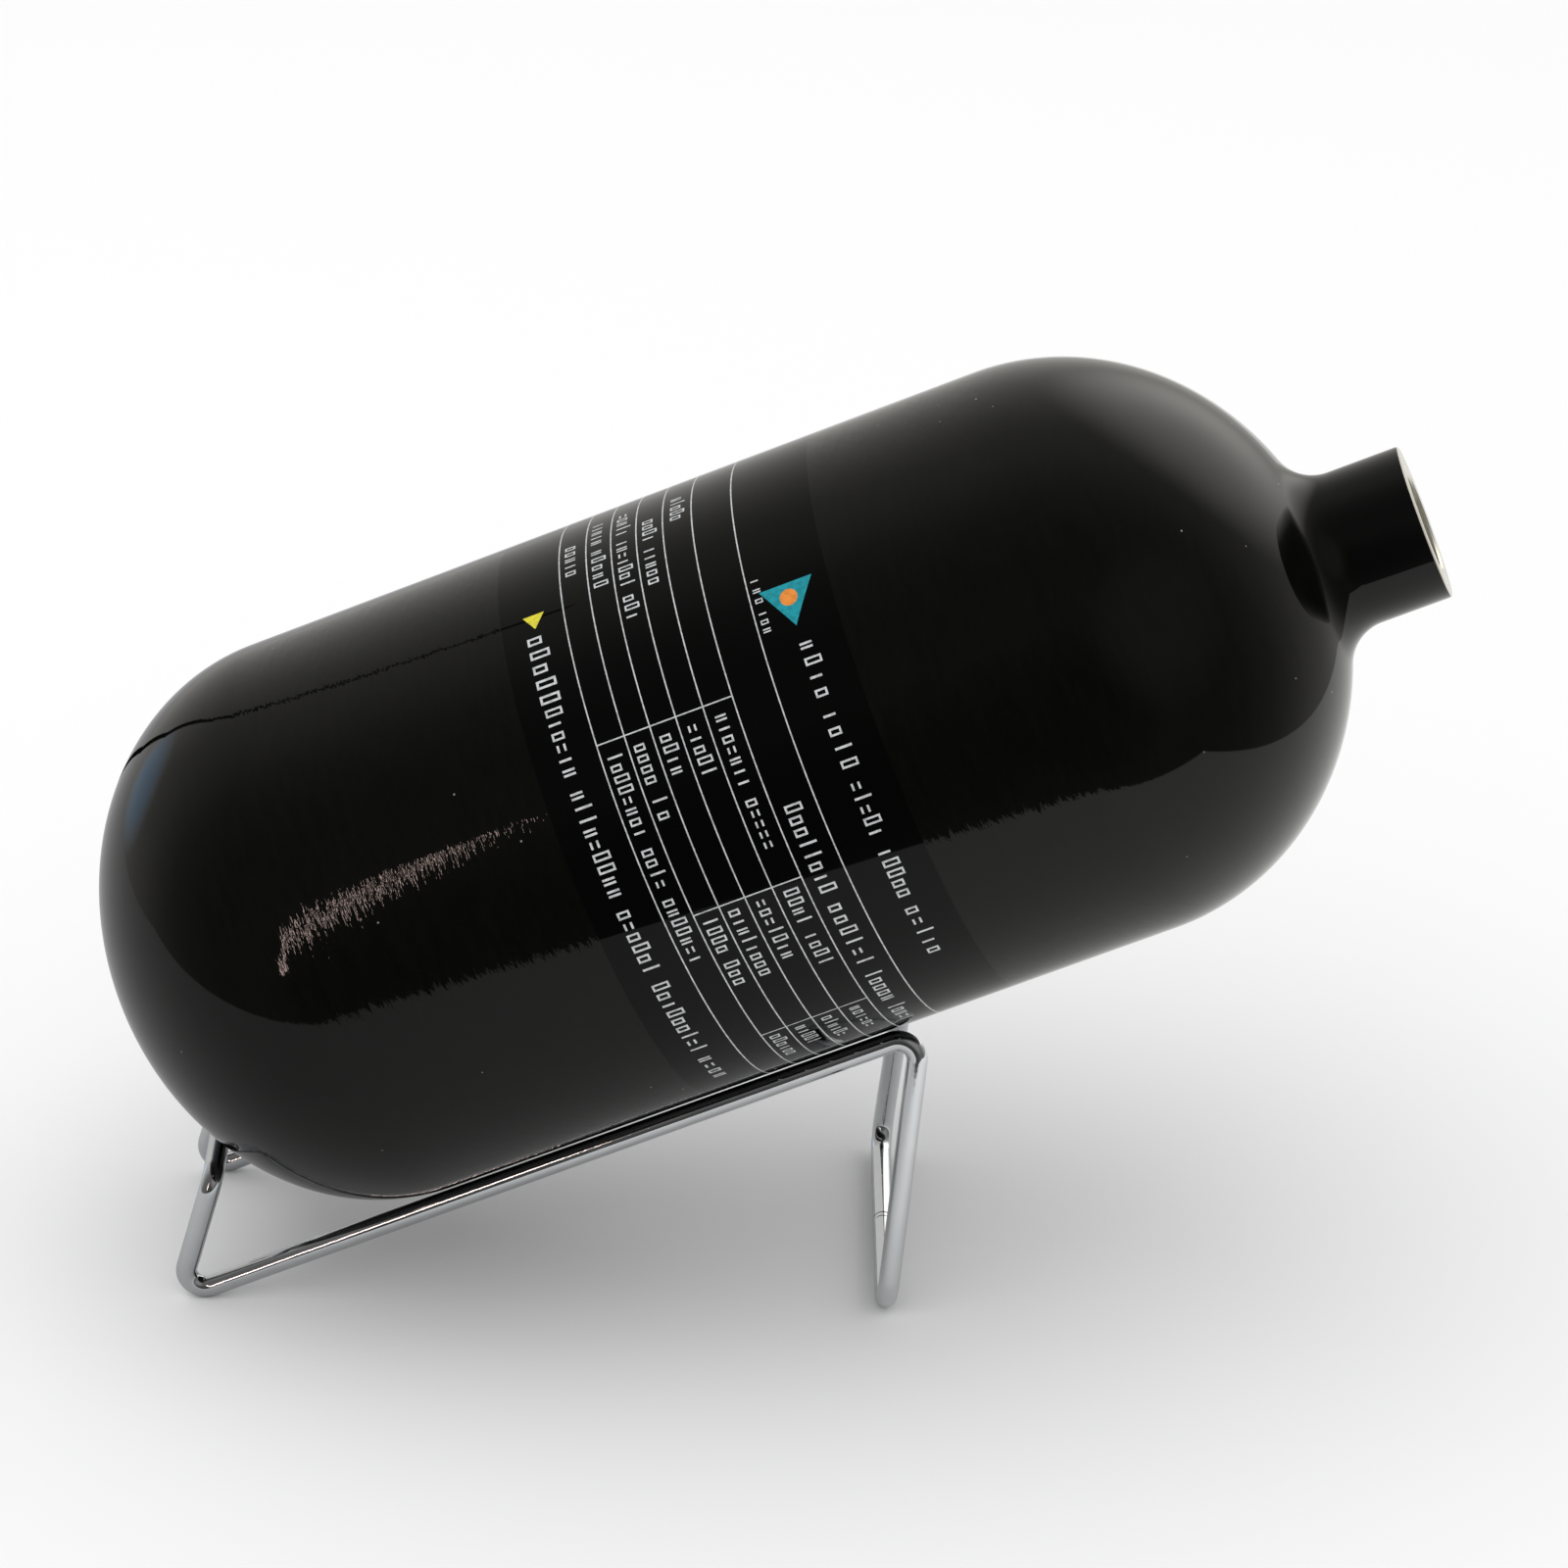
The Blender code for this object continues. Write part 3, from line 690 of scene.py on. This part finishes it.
def make_rules(runs, ink):
    """Thin printed rules: rings round the body and short dividers along it."""
    sizes = {"Barrel radius": BARREL_RADIUS, "Rule width": 0.3 * MM, "Lift": INK_LIFT, "Step": 1.5 * MM}
    tree, entry, leave = new_geometry_tree("printed rules", sizes)
    rows = add_node(tree, "GeometryNodeMeshToCurve", None, {"Mesh": entry["Geometry"]})
    spots = add_node(tree, "GeometryNodeResampleCurve", {"mode": "LENGTH"}, {
        "Curve": rows, "Length": entry["Step"]
    })
    section = add_node(tree, "GeometryNodeCurvePrimitiveQuadrilateral", None, {
        "Width": entry["Rule width"], "Height": entry["Rule width"]
    })
    swept = add_node(tree, "GeometryNodeCurveToMesh", None, {
        "Curve": spots, "Profile Curve": section, "Fill Caps": True
    })
    sink = add_node(tree, "ShaderNodeMath", {"operation": "MULTIPLY_ADD"}, {
        0: entry["Rule width"], 1: -0.5, 2: entry["Lift"]
    })
    drop = add_node(tree, "ShaderNodeCombineXYZ", None, {"Z": sink})
    sunk = add_node(tree, "GeometryNodeSetPosition", None, {"Geometry": swept, "Offset": drop})
    close_tree(tree, wrapped(tree, sunk, entry["Barrel radius"]), ink, leave)
    return grown("printed_rules", line_mesh("rule runs", runs), tree, sizes, ON_AXIS)


def make_thread(aluminium):
    """The neck's M18x1.5 thread: one ridge that winds down the bore."""
    run = NECK_SOCKET_DEPTH - SEAT_DEPTH - 4.0 * SEAT_CHAMFER
    sizes = {"Bore radius": BORE_RADIUS, "Run": run, "Turns": run / THREAD_PITCH, "Ridge": THREAD_DEPTH}
    tree, entry, leave = new_geometry_tree("neck thread", sizes)
    helix = add_node(tree, "GeometryNodeCurveSpiral", None, {
        "Resolution": 64,
        "Rotations": entry["Turns"],
        "Start Radius": entry["Bore radius"],
        "End Radius": entry["Bore radius"],
        "Height": entry["Run"],
    })
    ridge = add_node(tree, "GeometryNodeCurvePrimitiveCircle", None, {
        "Resolution": 4, "Radius": entry["Ridge"]
    })
    swept = add_node(tree, "GeometryNodeCurveToMesh", None, {
        "Curve": helix, "Profile Curve": ridge, "Fill Caps": True
    })
    close_tree(tree, swept, aluminium, leave)
    start = NECK_END - NECK_SOCKET_DEPTH + 2.0 * SEAT_CHAMFER
    seed = bpy.data.objects.new("thread seed", bpy.data.meshes.new("thread seed"))
    return grown("neck_thread", seed, tree, sizes, ON_AXIS @ Matrix.Translation((0.0, 0.0, start)))


# ---------------------------------------------------------------- stand


def rounded_route(corners):
    """Points along straight runs joined by arcs; corners are (point, bend radius)."""
    route = [corners[0][0]]
    for (before, _), (point, radius), (after, _) in zip(corners, corners[1:], corners[2:]):
        arriving = (point - before).normalized()
        leaving = (after - point).normalized()
        turn = arriving.angle(leaving)
        start = point - arriving * radius * math.tan(0.5 * turn)
        inward = (leaving - arriving * arriving.dot(leaving)).normalized()
        centre = start + inward * radius
        for step in range(BEND_STEPS + 1):
            swing = turn * step / BEND_STEPS
            route.append(centre + (arriving * math.sin(swing) - inward * math.cos(swing)) * radius)
    route.append(corners[-1][0])
    return route


def along_slope(origin, distance, slope, side):
    """Point at a distance up a slope in the X-Z plane, moved sideways."""
    return origin + Vector((distance * math.cos(slope), side, distance * math.sin(slope)))


def wire_route():
    """The stand's centre line, from one side of the weld round to the other."""
    weld = middle("butt_weld")
    half_angle = 0.5 * (RISER_SLOPE - RAIL_SLOPE)
    bend_rise = BEND_RADIUS / math.sin(half_angle) * math.sin(0.5 * (RISER_SLOPE + RAIL_SLOPE))
    rear_x = weld.x + FOOT_SETBACK - RAIL_LENGTH * math.cos(RAIL_SLOPE)
    rear = Vector((rear_x, 0.0, WIRE_RADIUS - (bend_rise - BEND_RADIUS)))
    rail_half = 0.5 * RAIL_SPACING
    near = [
        (Vector((weld.x, -WELD_HALF, weld.z)), 0.0),
        (Vector((weld.x, -0.5 * FOOT_SPACING, weld.z)), FOOT_BEND_RADIUS),
        (along_slope(rear, RAIL_LENGTH, RAIL_SLOPE, -rail_half), BEND_RADIUS),
        (along_slope(rear, 0.0, RAIL_SLOPE, -rail_half), BEND_RADIUS),
        (along_slope(rear, RISER_LENGTH, RISER_SLOPE, -rail_half), BEND_RADIUS),
    ]
    far = [(Vector((point.x, -point.y, point.z)), radius) for point, radius in reversed(near)]
    return rounded_route(near + far)


def make_bent_wire(chrome):
    """The stand's wire, a round section swept along its route."""
    sizes = {"Wire radius": WIRE_RADIUS, "Sides": WIRE_SIDES}
    tree, entry, leave = new_geometry_tree("bent wire", sizes)
    section = add_node(tree, "GeometryNodeCurvePrimitiveCircle", None, {
        "Resolution": entry["Sides"], "Radius": entry["Wire radius"]
    })
    swept = add_node(tree, "GeometryNodeCurveToMesh", None, {
        "Curve": entry["Geometry"], "Profile Curve": section, "Fill Caps": True
    })
    close_tree(tree, swept, chrome, leave)
    route = wire_route()
    curve = bpy.data.curves.new("wire route", "CURVE")
    curve.dimensions = "3D"
    spline = curve.splines.new("POLY")
    spline.points.add(len(route) - 1)
    for target, point in zip(spline.points, route):
        target.co = (*point, 1.0)
    wire = grown("bent_wire", bpy.data.objects.new("wire route", curve), tree, sizes)
    finish_mesh(wire.data)
    return wire


def make_weld_seam(chrome):
    """The butt weld in the floor bar, ground flush, with a fine groove at each side."""
    groove = 0.22 * MM
    half = WELD_HALF + 0.02 * MM
    stations = [
        (0.0, -half),
        (WIRE_RADIUS - groove, -half),
        (WIRE_RADIUS - 0.04 * MM, -half + groove),
        (WIRE_RADIUS, -0.5 * half),
        (WIRE_RADIUS, 0.5 * half),
        (WIRE_RADIUS - 0.04 * MM, half - groove),
        (WIRE_RADIUS - groove, half),
        (0.0, half),
    ]
    shape = bmesh.new()
    rim = [shape.verts.new((radius, 0.0, station)) for radius, station in stations]
    edges = [shape.edges.new(pair) for pair in zip(rim, rim[1:])]
    bmesh.ops.spin(
        shape,
        geom=rim + edges,
        cent=(0.0, 0.0, 0.0),
        axis=(0.0, 0.0, 1.0),
        angle=2.0 * math.pi,
        steps=WIRE_SIDES,
    )
    mesh = bpy.data.meshes.new("weld_seam")
    shape.to_mesh(mesh)
    shape.free()
    mesh.materials.append(chrome)
    mesh.transform(Matrix.Translation(middle("butt_weld")) @ Matrix.Rotation(0.5 * math.pi, 4, "X"))
    finish_mesh(mesh, math.radians(50.0))
    return link(bpy.data.objects.new("weld_seam", mesh))


# ---------------------------------------------------------------- printed layout


def flat_point(degrees, station_mm):
    """A point of the flat drawing: degrees round from the top of the body, mm along it."""
    return (math.radians(degrees) * BARREL_RADIUS, station_mm * MM, 0.0)


# Rings round the body: their stations in mm, and the degrees that all of them span.
RING_STATIONS = (134.3, 140.7, 146.6, 152.6, 158.9, 165.7, 175.1)
RING_SPAN = (-22, 150)
# Dividers along the body, as (degree, first station, last station).
DIVIDERS = (
    (51.3, 134.3, 165.7),
    (88.2, 140.7, 165.7),
    (123.3, 140.7, 165.7),
)
# Rows of marks, as (station, first degree, last degree, mark height in mm).
MARK_ROWS = (
    (127.4, 25.5, 39.0, 4.6),
    (127.4, 42.0, 134.0, 3.9),
    (137.4, 1.0, 10.5, 3.4),
    (137.4, 54.5, 103.0, 3.4),
    (143.6, -6.0, 17.0, 3.4),
    (143.6, 54.5, 68.0, 3.4),
    (143.6, 90.5, 105.5, 3.4),
    (143.6, 125.5, 136.0, 3.2),
    (149.6, -6.0, 28.0, 3.4),
    (149.6, 54.5, 67.0, 3.4),
    (149.6, 90.5, 106.5, 3.4),
    (149.6, 125.5, 136.0, 3.2),
    (155.8, 2.0, 21.5, 3.4),
    (155.8, 54.5, 67.0, 3.4),
    (155.8, 90.5, 104.0, 3.4),
    (155.8, 125.5, 136.0, 3.2),
    (162.4, -4.0, 6.0, 3.4),
    (162.4, 54.5, 83.0, 3.4),
    (162.4, 90.5, 108.0, 3.4),
    (162.4, 125.5, 136.0, 3.2),
    (170.0, 75.0, 141.0, 3.9),
    (177.4, 30.5, 41.5, 2.4),
    (184.8, 47.0, 119.0, 3.8),
)


def word_runs():
    """Cut each row of marks into words of three to eight marks."""
    lengths = random.Random(5)
    runs = []
    heights = []
    for station, first, last, height in MARK_ROWS:
        pitch = math.degrees(MARK_PITCH * height * MM / BARREL_RADIUS)
        start = first
        while start < last - pitch:
            end = min(last, start + pitch * lengths.randint(3, 8))
            runs.append((flat_point(start, station), flat_point(end, station)))
            heights.append(height * MM)
            start = end + WORD_GAP * pitch
    return runs, heights


def printed_patch(name, outline, lift, ink):
    """A flat patch of ink with a small thickness, bent onto the barrel."""
    shape = bmesh.new()
    base = lift - INK_BODY
    face = shape.faces.new([shape.verts.new((x, y, base)) for x, y in outline])
    lifted = bmesh.ops.extrude_face_region(shape, geom=[face])
    corners = [item for item in lifted["geom"] if isinstance(item, bmesh.types.BMVert)]
    bmesh.ops.translate(shape, verts=corners, vec=(0.0, 0.0, INK_BODY))
    # Narrow columns let the patch follow the curve.
    left = min(x for x, _ in outline)
    right = max(x for x, _ in outline)
    columns = max(4, round((right - left) / PATCH_COLUMN))
    for column in range(1, columns):
        cut = left + (right - left) * column / columns
        everything = shape.verts[:] + shape.edges[:] + shape.faces[:]
        bmesh.ops.bisect_plane(shape, geom=everything, plane_co=(cut, 0.0, 0.0), plane_no=(1.0, 0.0, 0.0))
    mesh = bpy.data.meshes.new(name)
    shape.to_mesh(mesh)
    shape.free()
    for vertex in mesh.vertices:
        turn = vertex.co.x / BARREL_RADIUS + math.pi
        radius = BARREL_RADIUS + vertex.co.z
        vertex.co = (radius * math.cos(turn), radius * math.sin(turn), vertex.co.y)
    mesh.materials.append(ink)
    mesh.transform(ON_AXIS)
    finish_mesh(mesh)
    return link(bpy.data.objects.new(name, mesh))


def round_outline(degrees, station, radius_mm, sides):
    """A regular outline on the flat drawing."""
    x, y, _ = flat_point(degrees, station)
    reach = radius_mm * MM
    return [
        (x + reach * math.cos(2 * math.pi * k / sides), y + reach * math.sin(2 * math.pi * k / sides))
        for k in range(sides)
    ]


# ---------------------------------------------------------------- stage


def make_stage_mesh(name, points, faces, material):
    """A plain mesh that belongs to the studio."""
    mesh = bpy.data.meshes.new(name)
    mesh.from_pydata(points, [], faces)
    mesh.materials.append(material)
    made = link(bpy.data.objects.new(name, mesh))
    return made


def make_sheet(name, outline, height, material):
    """A flat sheet at a height."""
    points = [(x, y, height) for x, y in outline]
    return make_stage_mesh(name, points, [tuple(range(len(points)))], material)


def make_paper(name, low, high, start, end):
    """Matt paper whose tone runs from low to high between two places along X."""
    material, tree = new_material(name)
    place = add_node(tree, "ShaderNodeTexCoord")
    parts = add_node(tree, "ShaderNodeSeparateXYZ", None, {"Vector": place.outputs["Object"]})
    run = add_node(tree, "ShaderNodeMapRange", None, {
        "Value": parts.outputs["X"], "From Min": start, "From Max": end
    })
    tone = add_node(tree, "ShaderNodeMix", {"data_type": "RGBA"}, {0: run, 6: linear(low), 7: linear(high)})
    shader = add_node(tree, "ShaderNodeBsdfPrincipled", None, {
        "Base Color": tone, "Roughness": 0.9, "Specular IOR Level": 0.0
    })
    add_node(tree, "ShaderNodeOutputMaterial", None, {"Surface": shader})
    return material


FLOOR_HALF = 6.0
# A thin bent rod stands behind the cylinder, at one depth along Y. Its route is
# (x, z), from near the stand's rear bend upwards.
ROD_DEPTH = 0.12
ROD_HALF = 2.0 * MM
ROD_ROUTE = (
    (-0.165, 0.060),
    (-0.188, 0.083),
    (-0.207, 0.102),
    (-0.234, 0.149),
    (-0.250, 0.239),
    (-0.242, 0.298),
    (-0.235, 0.328),
    (-0.224, 0.354),
    (-0.203, 0.400),
)
# The mirrored table sheet, just above the floor. Its grey is painted shade that only the gloss shows.
TABLE_LIFT = 0.05 * MM
TABLE_OUTLINE = (
    (-0.62, 0.02),
    (-0.33, -0.23),
    (-0.15, -0.38),
    (0.09, -0.31),
    (0.49, -0.36),
    (0.49, 1.0),
    (-0.62, 1.0),
)


def square(half):
    """Corners (x, y) of a square about the origin."""
    return ((-half, -half), (half, -half), (half, half), (-half, half))


def make_floor():
    """A pale floor, and a duller table sheet and a rod that only the gloss mirrors. The sheet's grey, darker
    towards -X, is painted shade in the floor's reflection.
    """
    paper = make_paper("matt white paper sweep", "#f2f2f2", "#f4f4f4", -2.0, 2.0)
    floor = make_sheet("floor", square(FLOOR_HALF), 0.0, paper)
    floor.visible_glossy = False
    # Painted shade: this sheet is seen only by the gloss. It is grey and darkest towards -X, so the floor's
    # reflection looks shaded.
    painted_shade_paper = make_paper("table paper with painted shade", "#bcbcbc", "#f0f0ee", -0.15, 0.15)
    table = make_sheet("table_sheet", TABLE_OUTLINE, TABLE_LIFT, painted_shade_paper)
    rod = make_paper("matt black rod", "#060606", "#060606", -2.0, 2.0)
    points = [(x + dx, ROD_DEPTH + dy, z) for x, z in ROD_ROUTE for dx, dy in square(ROD_HALF)]
    faces = [(3, 2, 1, 0), tuple(range(len(points) - 4, len(points)))]
    for lower in range(0, len(points) - 4, 4):
        for side in range(4):
            beside = (side + 1) % 4
            faces.append((lower + side, lower + beside, lower + beside + 4, lower + side + 4))
    pole = make_stage_mesh("rod", points, faces, rod)
    for piece in (table, pole):
        piece.visible_camera = False
        piece.visible_diffuse = False
        piece.visible_shadow = False


def make_studio_air():
    """What surrounds the table: a dark room, a pale backdrop and three soft glows."""
    world = bpy.data.worlds.new("dark studio with pale backdrop")
    bpy.context.scene.world = world
    world.use_nodes = True
    tree = world.node_tree
    tree.nodes.clear()
    place = add_node(tree, "ShaderNodeTexCoord")
    towards = place.outputs["Generated"]
    parts = add_node(tree, "ShaderNodeSeparateXYZ", None, {"Vector": towards})
    # The room is dark in front and pales steadily towards the backdrop behind.
    depth = add_node(tree, "ShaderNodeMapRange", None, {
        "Value": parts.outputs["Y"], "From Min": -1.0, "From Max": 1.0
    })
    room = add_node(tree, "ShaderNodeValToRGB", None, {"Fac": depth})
    # Each level is (place from front to back, brightness).
    levels = (
        (0.0, 0.05), (0.02, 0.06), (0.10, 0.13), (0.26, 0.12), (0.36, 0.155), (0.46, 0.215), (0.51, 0.26),
        (0.56, 0.325), (0.66, 0.43), (0.76, 0.46), (0.85, 0.54), (0.92, 0.62), (1.0, 0.70),
    )
    stops = room.color_ramp.elements
    for place_between, _ in levels[1:-1]:
        stops.new(place_between)
    for stop, (_, level) in zip(stops, levels):
        stop.color = (level, level, level, 1.0)
    total = room
    # Each glow is (direction, full within, gone beyond, strength), angles in degrees.
    glows = (
        ((0.506, 0.723, 0.469), 2, 35, 1.2),
        ((0.574, -0.637, 0.515), 2, 34, 0.13),
        ((-0.74, 0.66, 0.03), 2, 14, 0.6),
    )
    for direction, full, gone, strength in glows:
        facing = add_node(tree, "ShaderNodeVectorMath", {"operation": "DOT_PRODUCT"}, {
            0: towards, 1: Vector(direction).normalized()
        })
        share = add_node(tree, "ShaderNodeMapRange", {"interpolation_type": "SMOOTHSTEP"}, {
            "Value": facing,
            "From Min": math.cos(math.radians(gone)),
            "From Max": math.cos(math.radians(full)),
        })
        total = add_node(tree, "ShaderNodeMath", {"operation": "MULTIPLY_ADD"}, {
            0: share, 1: strength, 2: total
        })
    # The last glow is cool daylight; the room is a neutral white.
    tint = add_node(tree, "ShaderNodeMix", {"data_type": "RGBA"}, {
        0: share, 6: linear("#fffdf8"), 7: linear("#c4e2ff")
    })
    mirrored = add_node(tree, "ShaderNodeBackground", None, {"Color": tint, "Strength": total})
    plain = add_node(tree, "ShaderNodeBackground", None, {"Color": linear("#f6f6f6"), "Strength": 1.0})
    path = add_node(tree, "ShaderNodeLightPath")
    both = add_node(tree, "ShaderNodeMixShader", None, {
        0: path.outputs["Is Glossy Ray"], 1: plain, 2: mirrored
    })
    add_node(tree, "ShaderNodeOutputWorld", None, {"Surface": both})


def make_lamp(name, place, target, size, power, colour="#ffffff"):
    """A rectangular softbox that looks at a point."""
    data = bpy.data.lights.new(name, "AREA")
    data.shape = "RECTANGLE"
    data.size, data.size_y = size
    data.energy = power
    data.color = linear(colour)[:3]
    lamp = link(bpy.data.objects.new(name, data))
    lamp.location = place
    lamp.rotation_euler = (Vector(target) - Vector(place)).to_track_quat("-Z", "Y").to_euler()
    return lamp


def make_lights():
    """One large soft key overhead, and a small warm lamp that only the gloss shows."""
    key = make_lamp("overhead_softbox", (-0.3, -0.2, 2.2), (0.0, 0.1, 0.0), (2.4, 2.4), 15.0)
    key.visible_glossy = False
    stands, looks_at = (-0.335, -0.545, 0.25), (-0.08, -0.05, 0.12)
    catch = make_lamp("catch_lamp", stands, looks_at, (0.008, 0.28), 0.16, "#ffe2d8")
    catch.visible_diffuse = False


def make_camera():
    """A long lens, looking down on the cylinder's side from in front."""
    distance = 1.33
    data = bpy.data.cameras.new("camera")
    data.lens = 136.1
    camera = link(bpy.data.objects.new("camera", data))
    down = math.radians(26.5)
    target = Vector((0.0036, 0.0, 0.1165))
    camera.location = target - Vector((0.0, math.cos(down), -math.sin(down))) * distance
    camera.rotation_euler = (0.5 * math.pi - down, 0.0, 0.0)
    bpy.context.scene.camera = camera


# ---------------------------------------------------------------- assembly


def dress(node, material):
    """Give a CAD node that stays a finished material."""
    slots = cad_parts[node].data.materials
    slots.clear()
    slots.append(material)


def build():
    """Make every visible piece and hang it on its CAD body."""
    make_camera()
    make_floor()
    make_studio_air()
    make_lights()

    lacquer = make_wound_lacquer()
    film = make_band_film()
    grey_ink = make_ink("pale grey screen ink", "#c9cbcc", "#a9abac")
    teal_ink = make_ink("teal screen ink", "#1d8f9b", "#187a86")
    orange_ink = make_ink("orange screen ink", "#e08a3c", "#c97a34")
    yellow_ink = make_ink("yellow screen ink", "#d9cf3a", "#bdb432")
    neck_lacquer = make_neck_lacquer()
    aluminium = make_turned_aluminium()
    chrome = make_chrome()

    wrap = make_wrap(lacquer)
    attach(wrap, "cylinder")
    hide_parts("glass_outer_wrap")

    band = make_band(film)
    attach(band, "cylinder")
    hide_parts("label_film")

    neck = make_neck(neck_lacquer, aluminium)
    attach(neck, "cylinder")
    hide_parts("liner_neck")
    thread = make_thread(aluminium)
    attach(thread, "cylinder")

    rings = [[flat_point(turn, station) for turn in RING_SPAN] for station in RING_STATIONS]
    bars = [(flat_point(turn, first), flat_point(turn, last)) for turn, first, last in DIVIDERS]
    runs, heights = word_runs()
    printed = [
        make_rules(rings + bars, grey_ink),
        make_print(runs, heights, grey_ink),
        printed_patch("badge_field", round_outline(36.5, 183.5, 7.0, 3), INK_LIFT, teal_ink),
        printed_patch("badge_dot", round_outline(36.5, 183.5, 2.0, 32), 2.0 * INK_LIFT, orange_ink),
        printed_patch("band_flag", round_outline(20.0, 127.4, 2.9, 3), INK_LIFT, yellow_ink),
    ]
    for piece in printed:
        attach(piece, "cylinder")

    dress("liner_vessel", make_spun_aluminium())
    dress("galvanic_barrier", make_winding("cured glass scrim in epoxy", 0.0, "#8f8763", "#c2b98f", 0.55))
    dress("carbon_hoop_wrap", make_winding("carbon tow wound round", 0.0, "#0c0c0d", "#2a2a2c", 0.35))
    helical = make_winding("carbon tow wound at an angle", 22.0, "#0c0c0d", "#2c2c2e", 0.35)
    dress("carbon_helical_wrap", helical)

    wire = make_bent_wire(chrome)
    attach(wire, "stand")
    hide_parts("stand_wire")
    weld = make_weld_seam(chrome)
    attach(weld, "stand")
    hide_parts("butt_weld")


bpy.context.scene.view_settings.view_transform = "Standard"
build()
